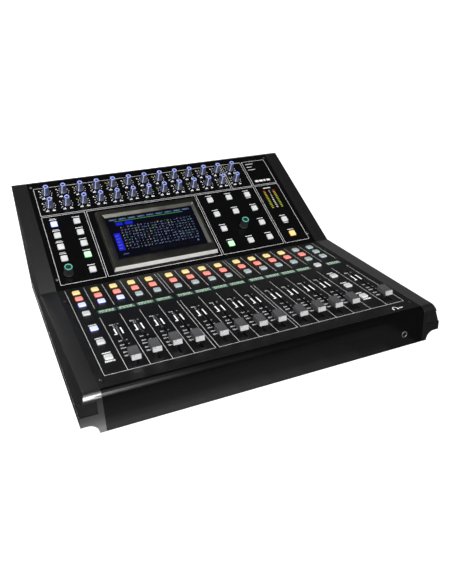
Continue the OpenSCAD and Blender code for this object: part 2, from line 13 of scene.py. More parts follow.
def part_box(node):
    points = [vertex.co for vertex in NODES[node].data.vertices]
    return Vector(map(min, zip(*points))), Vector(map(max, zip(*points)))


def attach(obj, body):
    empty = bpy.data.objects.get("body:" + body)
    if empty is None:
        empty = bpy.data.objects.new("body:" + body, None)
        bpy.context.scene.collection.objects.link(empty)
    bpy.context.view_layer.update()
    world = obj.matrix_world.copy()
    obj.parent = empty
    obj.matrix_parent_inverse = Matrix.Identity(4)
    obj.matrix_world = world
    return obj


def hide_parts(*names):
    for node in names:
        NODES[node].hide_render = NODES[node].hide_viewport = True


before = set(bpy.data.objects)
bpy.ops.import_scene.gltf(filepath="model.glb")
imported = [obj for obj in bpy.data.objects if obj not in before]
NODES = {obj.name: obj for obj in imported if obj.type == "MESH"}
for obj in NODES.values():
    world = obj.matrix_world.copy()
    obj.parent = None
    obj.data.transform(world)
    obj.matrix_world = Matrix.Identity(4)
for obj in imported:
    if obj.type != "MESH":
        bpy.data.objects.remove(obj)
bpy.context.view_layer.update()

MM = 0.001

# ---- The console's main sizes, as in its CAD ----

# Side view: the sloping deck, the steeper upper panel and the front face
DECK_TILT = math.radians(4)
PANEL_TILT = math.radians(33.7)
DECK_LEN = 276.0
PANEL_LEN = 230.0
FRONT_H = 52.0
FRONT_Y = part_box("deck_panel")[0].y / MM
BEND_Y = FRONT_Y + DECK_LEN * math.cos(DECK_TILT)
BEND_Z = FRONT_H + DECK_LEN * math.sin(DECK_TILT)
REAR_Y = BEND_Y + PANEL_LEN * math.cos(PANEL_TILT)
REAR_EDGE_Z = 189.0

# Printed frame on the deck: 15 strips in three banks, with a gap between banks in strip widths
STRIP = 27.5
BANKS = ((0, 5), (5, 9), (9, 15))
BANK_GAP = 0.18
FRAME_W = (BANKS[-1][1] + 2 * BANK_GAP) * STRIP
FRAME_L = 240.0
FRAME_MARGIN = 30.5

# Keys, displays and faders on the deck
KEY = 10.0
KEY_OUT = 2.2
KEY_ROW_Y = 184.3
KEY_ROW_PITCH = 20.75
SIDE_KEYS = [36, 74, 111, 157]
SIDE_COLUMNS = (0, 13)
DISPLAY_Y = 154.0
FADER_LOW = 12.4
FADER_STAND = 12.0
CAP_W = 12.0
CAP_LEN = 20.8
CAP_H = 13.6
RIDGE_H = 12.2

# Knobs, encoders, screen and keys on the upper panel
KNOB_X0 = -195.8
KNOB_PITCH = 27.8
KNOB_ROWS = [196.8, 168.8]
KNOB_H = 16.5
ENCODER_H = 17.5
SCREEN = (-43.0, 78.3)
SCREEN_W = 150.0
SCREEN_L = 85.0
GLASS_Z = 3.8
LEFT_KEY_X = [-197.5, -161.5]
LEFT_KEY_Y = [128.5, 104.8, 81.1, 57.5]
LEFT_LOW_Y = 27.5
LEFT_ENCODER = (-198, 27.4)
NAV_X = [72, 108.2, 144.4]
NAV_Y = [27.9, 61.8, 95.7, 129.6]
NAV_ENCODER = (107.9, 60.2)
METER_KEY_X = 188.4
METER_KEY_Y = [26.5, 60]
METER_X = (179.5, 198.2)
METER_TOP = 131.0

# Headphone socket in the front face, and how far its ring stands out
JACK = (189.5, 21.0)
JACK_OUT = 1.2

# Rear sockets
SOCKET_ROW_Z = 64
SOCKET_ROW_STEP = 34
SOCKET_STEP = 27.5
INPUT_X0 = -190
OUTPUT_X0 = 60
NETWORK_X = (186, 206)
NETWORK_Z = 132

# How thick a printed mark stands on its surface
INK = 0.06


def shift(x=0.0, y=0.0, z=0.0):
    return Matrix.Translation((x, y, z))


def turn_x(angle):
    return Matrix.Rotation(angle, 4, "X")


# Local frames in millimetres: Z out of the surface, X to the right
DECK = shift(0, FRONT_Y, FRONT_H) @ turn_x(DECK_TILT) @ shift(0, FRAME_MARGIN)
PANEL = shift(0, BEND_Y, BEND_Z) @ turn_x(PANEL_TILT)
REAR = shift(0, REAR_Y, 0) @ Matrix(((-1, 0, 0, 0), (0, 0, 1, 0), (0, 1, 0, 0), (0, 0, 0, 1)))


def column_edge(c):
    """Left edge of a strip column across the deck, past the gaps between banks before it."""
    gaps = sum(c >= first for first, _ in BANKS[1:])
    return (c + BANK_GAP * gaps) * STRIP - FRAME_W / 2


def column_x(c):
    return column_edge(c) + STRIP / 2


def pu(u):
    """A place across the panel, from strip pitches."""
    return u * STRIP - FRAME_W / 2


# ---- Shapes ----

class Shape:
    """Collects closed forms in a local frame and becomes one mesh."""

    def __init__(self, place=Matrix.Identity(4)):
        self.place = place
        self.verts, self.faces, self.mats, self.smooth = [], [], [], []

    def add(self, verts, faces, mat=0, at=None, smooth=False):
        """Adds faces over new corners. mat may be a list, one per face, and so may smooth."""
        base = len(self.verts)
        whole = self.place @ at if at else self.place
        self.verts += [whole @ Vector(v) * MM for v in verts]
        self.faces += [[base + i for i in f] for f in faces]
        self.mats += mat if isinstance(mat, list) else [mat] * len(faces)
        self.smooth += smooth if isinstance(smooth, list) else [smooth] * len(faces)

    def stack(self, loops, mat=0, at=None, smooth=False, caps=(True, True)):
        """Joins loops of equal length by quads, and closes its first and last loop as caps says."""
        n = len(loops[0])
        bands = len(loops) - 1
        faces = [[b * n + i, b * n + (i + 1) % n, (b + 1) * n + (i + 1) % n, (b + 1) * n + i]
                 for b in range(bands) for i in range(n)]
        ends = []
        if caps[0]:
            ends.append(list(range(n))[::-1])
        if caps[1]:
            ends.append(list(range(bands * n, bands * n + n)))
        flags = [smooth] * len(faces) + [False] * len(ends)
        self.add([p for loop in loops for p in loop], faces + ends, mat, at, flags)

    def box(self, x0, y0, x1, y1, z0, z1, mat=0, at=None):
        loop = [(x0, y0), (x1, y0), (x1, y1), (x0, y1)]
        self.stack([[(x, y, z) for x, y in loop] for z in (z0, z1)], mat, at)

    def line(self, x0, y0, x1, y1, w, mat=0):
        """A straight printed line of a given width."""
        d = Vector((x1 - x0, y1 - y0)).normalized() * w / 2
        loop = [(x0 + d.y, y0 - d.x), (x1 + d.y, y1 - d.x), (x1 - d.y, y1 + d.x), (x0 - d.y, y0 + d.x)]
        self.stack([[(x, y, z) for x, y in loop] for z in (0.0, INK)], mat)

    def half_ring(self, cx, cy, r, w, n, mat=0):
        """A printed arch, as n closed blocks."""
        angles = [math.pi * i / n for i in range(n + 1)]
        inner, outer = ([(cx + rr * math.cos(a), cy + rr * math.sin(a)) for a in angles]
                        for rr in (r - w / 2, r + w / 2))
        for i in range(n):
            loop = [inner[i], outer[i], outer[i + 1], inner[i + 1]]
            self.stack([[(x, y, z) for x, y in loop] for z in (0.0, INK)], mat)

    def outline(self, x0, y0, x1, y1, w, mat=0):
        """A printed rectangle, drawn as four closed lines that meet at its corners."""
        h = w / 2
        self.line(x0 - h, y0, x1 + h, y0, w, mat)
        self.line(x0 - h, y1, x1 + h, y1, w, mat)
        self.line(x0, y0 + h, x0, y1 - h, w, mat)
        self.line(x1, y0 + h, x1, y1 - h, w, mat)

    def mesh(self, name, mats):
        mesh = bpy.data.meshes.new(name)
        mesh.from_pydata(self.verts, [], self.faces)
        for m in mats:
            mesh.materials.append(m)
        mesh.polygons.foreach_set("material_index", self.mats)
        mesh.polygons.foreach_set("use_smooth", self.smooth)
        mesh.update()
        return mesh

    def out(self, name, mats, body="console", slot=None, replaces=None):
        """Makes a piece whose place is in its mesh."""
        return piece(name, self.mesh(name, mats), body, replaces)


def piece(name, mesh, body, replaces=None, at=None):
    """A mesh that rides on a body. at places a mesh that several pieces share."""
    obj = bpy.data.objects.new(name, mesh)
    bpy.context.scene.collection.objects.link(obj)
    if at:
        obj.matrix_world = Matrix.Scale(MM, 4) @ at @ Matrix.Scale(1 / MM, 4)
    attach(obj, body)
    if replaces:
        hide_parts(replaces)
    return obj


def rounded(w, l, r, z, n=4, cx=0.0, cy=0.0):
    """A loop round a rectangle with rounded corners."""
    pts = []
    for k, (sx, sy) in enumerate(((1, 1), (-1, 1), (-1, -1), (1, -1))):
        for i in range(n + 1):
            a = math.pi / 2 * (k + i / n)
            x, y = sx * (w / 2 - r) + r * math.cos(a), sy * (l / 2 - r) + r * math.sin(a)
            pts.append((cx + x, cy + y, z))
    return pts


def ring(r, z, n, flute=0.0, count=0):
    """A circle, or a fluted one."""
    pts = []
    for i in range(n):
        a = 2 * math.pi * i / n
        rr = r - flute * (0.5 - 0.5 * math.cos(count * a)) if flute else r
        pts.append((rr * math.cos(a), rr * math.sin(a), z))
    return pts


# ---- Materials ----

def principled(name):
    """A new material, with its nodes, links and shader."""
    mat = bpy.data.materials.new(name)
    mat.use_nodes = True
    nodes, links = mat.node_tree.nodes, mat.node_tree.links
    return mat, nodes, links, nodes["Principled BSDF"]


def noise(nodes, links, scale, detail, stretch=None):
    """A noise over the object's own coordinates, stretched along an axis or not."""
    coord = nodes.new("ShaderNodeTexCoord")
    tex = nodes.new("ShaderNodeTexNoise")
    tex.inputs["Scale"].default_value = scale
    tex.inputs["Detail"].default_value = detail
    place = coord.outputs["Object"]
    if stretch:
        mapping = nodes.new("ShaderNodeMapping")
        mapping.inputs["Scale"].default_value = stretch
        links.new(place, mapping.inputs["Vector"])
        place = mapping.outputs["Vector"]
    links.new(place, tex.inputs["Vector"])
    return tex.outputs["Fac"]


def spread(nodes, links, fac, low, high):
    """Maps the middle of a noise onto a range of values."""
    span = nodes.new("ShaderNodeMapRange")
    span.inputs["From Min"].default_value = 0.3
    span.inputs["From Max"].default_value = 0.7
    span.inputs["To Min"].default_value = low
    span.inputs["To Max"].default_value = high
    links.new(fac, span.inputs["Value"])
    return span.outputs["Result"]


def finish_of(name, color, rough, vary=0.15, rough_vary=0.06, grain=2500.0, bump=0.15, depth=0.00004,
              metallic=0.0, specular=0.5, patch=35.0, stretch=None, glow=None, strength=0.0, scatter=0.0):
    """A moulded, painted or lit surface: slow colour and gloss variation, and a fine grain."""
    mat, nodes, links, bsdf = principled(name)
    slow = noise(nodes, links, patch, 5.0)
    fine = noise(nodes, links, grain, 3.0, stretch)
    mix = nodes.new("ShaderNodeMix")
    mix.data_type = "RGBA"
    mix.inputs[6].default_value = [c * (1 - vary) for c in color] + [1]
    mix.inputs[7].default_value = [min(1.0, c * (1 + vary)) for c in color] + [1]
    links.new(spread(nodes, links, slow, 0.0, 1.0), mix.inputs[0])
    links.new(mix.outputs[2], bsdf.inputs["Base Color"])
    links.new(spread(nodes, links, slow, rough - rough_vary, rough + rough_vary), bsdf.inputs["Roughness"])
    if bump:
        bmp = nodes.new("ShaderNodeBump")
        bmp.inputs["Strength"].default_value = bump
        bmp.inputs["Distance"].default_value = depth
        links.new(fine, bmp.inputs["Height"])
        links.new(bmp.outputs["Normal"], bsdf.inputs["Normal"])
    bsdf.inputs["Metallic"].default_value = metallic
    bsdf.inputs["Specular IOR Level"].default_value = specular
    if scatter:
        bsdf.inputs["Subsurface Weight"].default_value = scatter
        bsdf.inputs["Subsurface Scale"].default_value = 0.002
    if glow:
        bsdf.inputs["Emission Color"].default_value = list(glow) + [1]
        bsdf.inputs["Emission Strength"].default_value = strength
    return mat


M = {
    "deck": finish_of("deck_paint", (0.0065, 0.0066, 0.0069), 0.40, specular=0.36, grain=3200, bump=0.3),
    # The nose and front face are the deck's own sheet: their much darker colour is painted shade.
    "front": finish_of("front_face_painted_shade", (0.0014, 0.0014, 0.0015), 0.25, vary=0.06, rough_vary=0.01,
                       specular=0.45, grain=3200, bump=0.06),
    "gloss": finish_of("gloss_black", (0.0035, 0.0035, 0.0037), 0.14, rough_vary=0.05, specular=0.35,
                       grain=900, bump=0.02),
    "tray": finish_of("tray_coat", (0.022, 0.022, 0.024), 0.5, specular=0.35, grain=2200, bump=0.5,
                      depth=0.00008),
    # A pale grey on the folded rear edges of tray and cheeks: a painted highlight where the edge catches
    # light.
    "band": finish_of("rear_edge_painted_highlight", (0.50, 0.505, 0.50), 0.4, specular=0.4, bump=0.2),
    "cheek": finish_of("cheek_satin", (0.26, 0.26, 0.262), 0.31, metallic=1.0, grain=3000, bump=0.1,
                       vary=0.02, rough_vary=0.005),
    # The cheeks' outward faces get a much darker copy of the cheek metal: painted shade.
    "cheek_shaded_side": finish_of("cheek_outer_painted_shade", (0.022, 0.022, 0.0225), 0.4, metallic=0.5, specular=0.3,
                            grain=3000, bump=0.2, vary=0.08),
    "cover": finish_of("cover_matt", (0.0075, 0.0075, 0.0078), 0.55, specular=0.25, bump=0.4),
    "bezel": finish_of("bezel_satin", (0.17, 0.17, 0.147), 0.36, metallic=1.0, grain=1800, bump=0.12,
                       stretch=(0.06, 1, 1)),
    # The bezel's lower front face gets a near-white copy of its metal: a painted highlight.
    "bezel_painted_highlight": finish_of("bezel_face_painted_highlight", (0.86, 0.86, 0.84), 0.42, metallic=0.2, specular=0.5,
                            grain=1800, bump=0.12, vary=0.08),
    "glass": finish_of("screen_glass", (0.002, 0.002, 0.004), 0.08, rough_vary=0.03, specular=0.5, bump=0,
                       glow=(0.01, 0.01, 0.06), strength=0.06),
    "display": finish_of("display_glass", (0.06, 0.10, 0.09), 0.16, specular=0.6, bump=0, vary=0.25,
                         patch=90, glow=(0.30, 0.62, 0.56), strength=0.10),
    "steel": finish_of("plated_steel", (0.48, 0.49, 0.5), 0.32, metallic=1.0, grain=1500, bump=0.1),
    "board": finish_of("board_green", (0.02, 0.12, 0.05), 0.45, bump=0.2, grain=1200),
    "socket": finish_of("socket_black", (0.018, 0.018, 0.019), 0.38, specular=0.45, bump=0.25),
    "rubber": finish_of("foot_rubber", (0.012, 0.012, 0.012), 0.75, specular=0.25, bump=0.6, depth=0.0001),
    "screw": finish_of("screw_black", (0.16, 0.16, 0.165), 0.33, metallic=1.0, bump=0.1),
    "silver": finish_of("nickel", (0.40, 0.40, 0.41), 0.3, metallic=0.8, bump=0.05, vary=0.05),
    "gold": finish_of("contact_gold", (0.85, 0.62, 0.26), 0.25, metallic=1.0, bump=0.05, vary=0.05),
    # The white print's glow, stronger on the bright print, is painted light; the ink itself gives off
    # none.
    "print": finish_of("white_ink_painted_glow", (0.88, 0.88, 0.88), 0.5, specular=0.3, bump=0.1, vary=0.06,
                       glow=(1, 1, 1), strength=0.10),
    "print_dim": finish_of("grey_print", (0.42, 0.42, 0.42), 0.5, specular=0.3, bump=0.1, vary=0.06),
    "print_strong_glow": finish_of("bright_ink_painted_glow", (0.93, 0.93, 0.93), 0.5, specular=0.3, bump=0.1, vary=0.04,
                              glow=(1, 1, 1), strength=0.38),
    # The fader cap is one silver finish: its dark grey body is painted shade and its pale front a painted
    # highlight.
    "cap": finish_of("fader_body_painted_shade", (0.078, 0.079, 0.084), 0.45, specular=0.4, grain=1600, bump=0.5,
                     depth=0.00008, vary=0.25, patch=900),
    "cap_highlight_face": finish_of("fader_front_painted_highlight", (0.84, 0.84, 0.85), 0.28, metallic=0.5, specular=0.5, bump=0.1,
                           vary=0.05),
    "knob": finish_of("knob_soft", (0.065, 0.073, 0.125), 0.30, specular=0.6, bump=0.3, grain=1800),
    # The knob's blue ring and pointer line are no lamps: their glow is painted light that brightens them.
    "knob_blue": finish_of("blue_ring_painted_glow", (0.34, 0.40, 0.85), 0.3, bump=0.05, vary=0.05,
                           glow=(0.25, 0.32, 0.90), strength=0.40),
    "pointer_painted_glow": finish_of("pointer_painted_glow", (0.60, 0.65, 0.90), 0.35, bump=0.05, vary=0.05,
                           glow=(0.45, 0.55, 0.95), strength=0.25),
    "encoder": finish_of("encoder_soft", (0.022, 0.024, 0.024), 0.42, specular=0.45, bump=0.3, grain=1800),
    # The encoder's teal ring is no lamp: its glow is painted light that brightens it.
    "teal": finish_of("teal_ring_painted_glow", (0.10, 0.42, 0.33), 0.3, bump=0.05, vary=0.05,
                      glow=(0.06, 0.38, 0.28), strength=0.35),
    "rocker": finish_of("rocker_black", (0.012, 0.012, 0.012), 0.2, specular=0.5, bump=0.1),
}


def key_material(name, color, glow, strength):
    """Milky silicone that lets a lamp under it shine through. On the unlit grey and teal caps the faint
    glow is painted light.
    """
    return finish_of(name, color, 0.42, specular=0.4, bump=0.08, vary=0.06, patch=160, glow=glow,
                     strength=strength, scatter=0.1)


# The grey and teal caps are unlit: their faint glow is painted light that brightens them.
M["key_grey"] = key_material("key_grey", (0.72, 0.73, 0.73), (0.95, 1.0, 1.0), 0.10)
M["key_teal"] = key_material("key_teal", (0.52, 0.60, 0.60), (0.75, 1.0, 0.95), 0.06)
M["key_amber"] = key_material("key_amber", (0.78, 0.66, 0.34), (1.0, 0.76, 0.30), 0.42)
M["key_coral"] = key_material("key_coral", (0.78, 0.32, 0.28), (1.0, 0.26, 0.20), 0.46)
M["key_blue"] = key_material("key_blue", (0.62, 0.66, 0.80), (0.62, 0.68, 1.0), 0.55)
M["key_green"] = key_material("key_green", (0.60, 0.78, 0.60), (0.45, 1.0, 0.48), 0.50)
M["key_gold"] = key_material("key_gold", (0.72, 0.58, 0.28), (1.0, 0.72, 0.26), 0.50)


def lamp(name, color, strength):
    """A small light or a lit patch."""
    return finish_of(name, [c * 0.5 for c in color], 0.3, bump=0, vary=0.1, glow=color, strength=strength)


M["led_green"] = lamp("led_green", (0.42, 0.46, 0.04), 0.5)
M["led_yellow"] = lamp("led_yellow", (0.60, 0.42, 0.05), 0.5)
M["led_red"] = lamp("led_red", (0.60, 0.06, 0.03), 0.6)
M["led_white"] = lamp("led_white", (0.85, 0.85, 0.78), 0.8)
M["spill_amber"] = lamp("spill_amber", (0.75, 0.36, 0.03), 0.5)
M["spill_coral"] = lamp("spill_coral", (0.70, 0.03, 0.02), 0.5)
M["spill_blue"] = lamp("spill_blue", (0.03, 0.06, 0.75), 0.7)
M["spill_green"] = lamp("spill_green", (0.01, 0.45, 0.07), 0.6)
M["px_blue"] = lamp("screen_blue", (0.01, 0.012, 0.55), 0.62)
M["px_pale"] = lamp("screen_pale", (0.22, 0.28, 0.42), 0.30)
M["px_dim"] = lamp("screen_dim", (0.05, 0.08, 0.19), 0.40)
M["px_green"] = lamp("screen_green", (0.05, 0.32, 0.08), 0.5)
M["px_gold"] = lamp("screen_gold", (0.50, 0.38, 0.06), 0.5)
M["px_dark"] = finish_of("screen_dark", (0.002, 0.002, 0.006), 0.3, bump=0)
M["px_char"] = lamp("display_chars", (0.55, 0.78, 0.66), 0.6)
M["px_lime"] = lamp("display_lime", (0.62, 0.72, 0.32), 0.6)


# ---- Finishes of the CAD nodes ----

def dress(node, mat, *picks):
    """Gives a CAD node its material, and others to the faces that each test chooses."""
    mesh = NODES[node].data
    mesh.materials.clear()
    mesh.materials.append(mat)
    for k, (other, test) in enumerate(picks):
        mesh.materials.append(other)
        for p in mesh.polygons:
            if test(p.center / MM, p.normal):
                p.material_index = k + 1


def soften(node, width):
    """Rounds a CAD node's sharp edges a little, after joining split corners and flat triangles."""
    obj = NODES[node]
    weld = obj.modifiers.new("join", "WELD")
    weld.merge_threshold = 0.00001
    flat = obj.modifiers.new("flat", "DECIMATE")
    flat.decimate_type = "DISSOLVE"
    flat.angle_limit = math.radians(0.5)
    flat.delimit = {"MATERIAL"}
    edge = obj.modifiers.new("edge", "BEVEL")
    edge.width = width * MM
    edge.segments = 2
    edge.limit_method = "ANGLE"
    edge.angle_limit = math.radians(30)


def on_rear_edge(c, n):
    """Faces of the folded edge along the top of the rear wall, which get a pale grey as a painted
    highlight.
    """
    return c.z > REAR_EDGE_Z and c.y > REAR_Y - 9 and n.z > 0.3 and n.y > -0.5


def on_nose(c, n):
    """Faces of the deck panel from the top of its rounded nose down the front, which get a darker copy of
    the deck paint as painted shade.
    """
    return n.y < -0.1 and n.z < 0.99 and c.y < FRONT_Y + 9


def on_cheek_side(c, n):
    """Faces of a cheek that look outwards, which get a darker copy of the cheek's metal as painted shade.
    """
    return n.x * c.x > 0.5 * abs(c.x) and n.z < 0.9


def on_bezel_front(c, n):
    """The bezel's lower outer face, which looks towards the front and gets a near-white colour as a
    painted highlight.
    """
    return n.y < -0.9 and c.z < BEND_Z + 25


dress("chassis_tray", M["tray"], (M["band"], on_rear_edge))
dress("deck_panel", M["deck"], (M["front"], on_nose))
dress("upper_panel", M["gloss"])
dress("side_cheeks", M["cheek"], (M["cheek_shaded_side"], on_cheek_side), (M["band"], on_rear_edge))
dress("cheek_covers", M["cover"])
dress("screen_bezel", M["bezel"], (M["bezel_painted_highlight"], on_bezel_front))
dress("touch_screen", M["glass"])
dress("channel_displays", M["display"])
dress("fader_tracks", M["steel"])
dress("control_boards", M["board"])
dress("sockets", M["socket"])
dress("rubber_feet", M["rubber"])
dress("panel_screws", M["screw"])
dress("power_switch", M["rocker"])
soften("side_cheeks", 0.7)
soften("screen_bezel", 0.6)
soften("cheek_covers", 0.6)
soften("rubber_feet", 0.6)

# ---- Keys ----

def key_cap(shape, x, y, mat, spill=None):
    """A cap with rounded edges and a shallow dish, and a light-guide rim round a lit one."""
    at = shift(x, y)
    # Width, corner radius and height of each loop, from the foot to the dished top
    loops = [(KEY, 1.2, -3.4), (KEY, 1.2, KEY_OUT - 0.7), (KEY - 0.3, 1.15, KEY_OUT - 0.3),
             (KEY - 1.1, 1.0, KEY_OUT), (KEY - 3.2, 0.8, KEY_OUT - 0.05), (KEY - 6, 0.7, KEY_OUT - 0.16)]
    shape.stack([rounded(w, w, r, z) for w, r, z in loops], mat, at, smooth=True)
    if spill is not None:
        low, high = -1.0, 0.25
        outer, inner = rounded(KEY + 1.1, KEY + 1.1, 1.5, 0), rounded(KEY + 0.1, KEY + 0.1, 1.2, 0)
        n = len(outer)
        verts = [(x, y, z) for loop in (outer, inner) for z in (low, high) for x, y, _ in loop]
        faces = []
        for i in range(n):
            j = (i + 1) % n
            faces += [[i, j, n + j, n + i], [2 * n + j, 2 * n + i, 3 * n + i, 3 * n + j],
                      [n + i, n + j, 3 * n + j, 3 * n + i], [j, i, 2 * n + i, 2 * n + j]]
        shape.add(verts, faces, spill, at)


def key_group(node, place, spots, mats):
    """One piece for a row or field of keys. A spot is x, y, the cap's material and its rim's or None."""
    shape = Shape(place)
    for x, y, mat, spill in spots:
        key_cap(shape, x, y, mat, spill)
    shape.out(node + "_caps", mats, node + "_group", SLOT[node], node)


SLOT = {"mix_keys": "mix_key", "mute_keys": "mute_key", "select_keys": "select_key",
        "layer_keys": "plain_key", "panel_keys": "plain_key"}


def row_y(row):
    return KEY_ROW_Y + row * KEY_ROW_PITCH


# A deck key is at a strip's middle and a row, and the first three select keys are lit
key_group("mix_keys", DECK, [(column_x(c), row_y(2), 0, 1) for c in range(13)],
          [M["key_amber"], M["spill_amber"]])
key_group("mute_keys", DECK, [(column_x(c), row_y(1), 0, 1) for c in range(14)],
          [M["key_coral"], M["spill_coral"]])
key_group("select_keys", DECK,
          [(column_x(c), row_y(0)) + ((1, 2) if c < 3 else (0, None)) for c in range(13)],
          [M["key_teal"], M["key_blue"], M["spill_blue"]])
layer = [(column_x(c), y, 1, 2) if (c, y) == (0, SIDE_KEYS[2]) else (column_x(c), y, 0, None)
         for c in SIDE_COLUMNS for y in SIDE_KEYS]
layer += [(column_x(13), row_y(r), 3, None) for r in (0, 2)]
layer += [(column_x(14), row_y(r), 3, None) for r in range(3)]
key_group("layer_keys", DECK, layer, [M["key_grey"], M["key_blue"], M["spill_blue"], M["key_teal"]])
LEFT_KEYS = [(x, y) for x in LEFT_KEY_X for y in LEFT_KEY_Y] + [(LEFT_KEY_X[1], LEFT_LOW_Y)]
NAV_KEYS = [(NAV_X[c], NAV_Y[r]) for c in range(3) for r in range(4) if (c, r) != (1, 1)]
METER_KEYS = [(METER_KEY_X, y) for y in METER_KEY_Y]
# The lit keys on the upper panel, with the material of the cap and of its rim
LIT = {(LEFT_KEY_X[0], LEFT_KEY_Y[0]): (1, 4), (LEFT_KEY_X[1], LEFT_KEY_Y[3]): (2, 5),
       (NAV_X[0], NAV_Y[0]): (2, 5), (METER_KEY_X, METER_KEY_Y[0]): (3, 6)}
key_group("panel_keys", PANEL,
          [(x, y) + LIT.get((x, y), (0, None)) for x, y in LEFT_KEYS + NAV_KEYS + METER_KEYS],
          [M["key_grey"], M["key_blue"], M["key_green"], M["key_gold"],
           M["spill_blue"], M["spill_green"], M["spill_amber"]])

# ---- Faders ----

def cap_profile():
    """Side view of a cap, as y, z and whether the stretch that follows is its front, which gets the
    painted highlight.
    """
    low, edge, turn, hollow, rib, steps = 5.0, 0.6, 0.3, 0.8, 0.18, 26
    back = CAP_LEN / 2
    ridge, top = 1.7 - back, back - 1.0
    pts = [(edge - back, low, 0), (-back, low + edge, 1), (ridge - turn, RIDGE_H - turn, 0),
           (ridge + turn, RIDGE_H, 0)]
    for i in range(1, steps):
        k = i / steps
        z = RIDGE_H + k * (CAP_H - RIDGE_H) - hollow * math.sin(math.pi * k)
        z += (rib if i % 2 else -rib) * (0.06 < k < 0.94)
        pts.append((ridge + turn + k * (top - ridge - 0.5), z, 0))
    pts += [(top - 0.2, CAP_H, 0), (top + 0.2, CAP_H - turn, 0), (back, low + edge, 0),
            (back - edge, low, 0)]
    return pts


def fader_mesh():
    """A cap whose ends are drawn in towards its middle, on a lever and a carriage."""
    shape = Shape()
    prof = cap_profile()
    n = len(prof)
    half, edge, mid_z, reach = CAP_W / 2, 0.5, 8.0, 7.0
    verts = []
    for x, inset in ((-half, edge), (edge - half, 0.0), (half - edge, 0.0), (half, edge)):
        k = 1 - inset / reach
        verts += [(x, y * k, mid_z + (z - mid_z) * k) for y, z, _ in prof]
    faces, mats = [], []
    for b in range(3):
        for i in range(n):
            j = (i + 1) % n
            faces.append([(b + 1) * n + i, (b + 1) * n + j, b * n + j, b * n + i])
            mats.append(prof[i][2])
    faces += [list(range(n)), [3 * n + i for i in range(n)][::-1]]
    shape.add(verts, faces, mats + [0, 0])
    shape.box(-0.6, -3.0, 0.6, 3.0, -11.4, 6.0, 2)
    shape.box(-4.0, -5.0, 4.0, 5.0, -16.0, -11.0, 3)
    return shape.mesh("fader_cap", (M["cap"], M["cap_highlight_face"], M["steel"], M["socket"]))


def stand(c):
    """How far up its travel a strip's fader stands."""
    return FADER_STAND + {1: -6.0, 3: 4.5}.get(c, 0.0)


FADER_MESH = fader_mesh()
FADERS = [("fader_%02d" % c, c) for c in range(1, 13)] + [("master_fader", 14)]
for name, c in FADERS:
    piece(name + "_cap", FADER_MESH, name + "_slider", name,
          at=DECK @ shift(column_x(c), FADER_LOW + stand(c)))

# ---- Rotary knobs ----

def turned_body(shape, skirt, top, h, flutes, mat, ring_mat, core_mat):
    """A fluted grip on a flared skirt, with a coloured ring set into its top."""
    n = flutes * 6
    flare = skirt - top
    grip = [(top + 0.52 * flare, 4.4), (top + 0.38 * flare, 5.2), (top + 0.33 * flare, 0.55 * h),
            (top + 0.15, h - 1.2)]
    loops = [ring(3.0, -9, n), ring(3.0, 1.0, n), ring(skirt - 0.3, 1.0, n), ring(skirt, 1.3, n),
             ring(skirt, 2.9, n), ring(skirt - 0.3, 3.3, n), ring(skirt - 1.0, 3.7, n)]
    loops += [ring(r, z, n, 0.55, flutes) for r, z in grip]
    loops += [ring(top - 0.05, h - 0.4, n, 0.2, flutes), ring(top - 0.35, h - 0.1, n)]
    shape.stack(loops, mat, smooth=True, caps=(True, False))
    base = h - 0.1
    rim = [ring(top - 0.35, base, n), ring(top - 0.55, base + 0.35, n), ring(top - 1.15, base + 0.45, n),
           ring(top - 1.75, base + 0.3, n), ring(top - 1.95, base - 0.15, n)]
    shape.stack(rim, ring_mat, smooth=True, caps=(False, False))
    shape.stack([ring(top - 1.95, base - 0.15, n), ring(0.6, base - 0.4, n)], core_mat, smooth=True,
                caps=(False, True))


def pointer(shape, angle, profile, w, mat):
    """A thin raised line down a knob's side. Its profile is radius, height and how far it stands out."""
    out = Vector((math.cos(angle), math.sin(angle)))
    side = Vector((-out.y, out.x)) * w / 2
    loops = []
    for r, z, lift in profile:
        loops.append([(out.x * r + side.x, out.y * r + side.y, z),
                      (out.x * r - side.x, out.y * r - side.y, z),
                      (out.x * (r + lift) - side.x, out.y * (r + lift) - side.y, z + lift * 0.4),
                      (out.x * (r + lift) + side.x, out.y * (r + lift) + side.y, z + lift * 0.4)])
    shape.stack(loops, mat)


def knob_mesh():
    shape = Shape()
    turned_body(shape, 6.8, 4.3, KNOB_H, 18, 0, 1, 2)
    profile = [(6.55, 1.6, 0.45), (6.5, 3.3, 0.5), (5.0, 3.9, 0.75), (4.9, 5.0, 0.7), (4.35, 9.2, 0.75),
               (3.9, KNOB_H - 0.9, 0.7), (2.9, KNOB_H + 0.1, 0.4)]
    pointer(shape, math.radians(240), profile, 0.95, 3)
    return shape.mesh("knob", (M["knob"], M["knob_blue"], M["encoder"], M["pointer_painted_glow"]))


def encoder_mesh():
    shape = Shape()
    turned_body(shape, 7.4, 6.2, ENCODER_H, 24, 0, 1, 0)
    return shape.mesh("encoder", (M["encoder"], M["teal"]))


KNOB_MESH, ENCODER_MESH = knob_mesh(), encoder_mesh()
KNOBS = [("gain_knob_%02d" % (r * 12 + i + 1), i, r) for r in range(2) for i in range(12)]
KNOBS += [("monitor_knob", 12, 0), ("phones_knob", 12, 1)]
for name, i, r in KNOBS:
    piece(name + "_grip", KNOB_MESH, name + "_rotor", name,
          at=PANEL @ shift(KNOB_X0 + i * KNOB_PITCH, KNOB_ROWS[r]))
for name, (x, y) in (("left_encoder", LEFT_ENCODER), ("right_encoder", NAV_ENCODER)):
    piece(name + "_grip", ENCODER_MESH, name + "_rotor", name, at=PANEL @ shift(x, y))

# ---- Printed marks ----

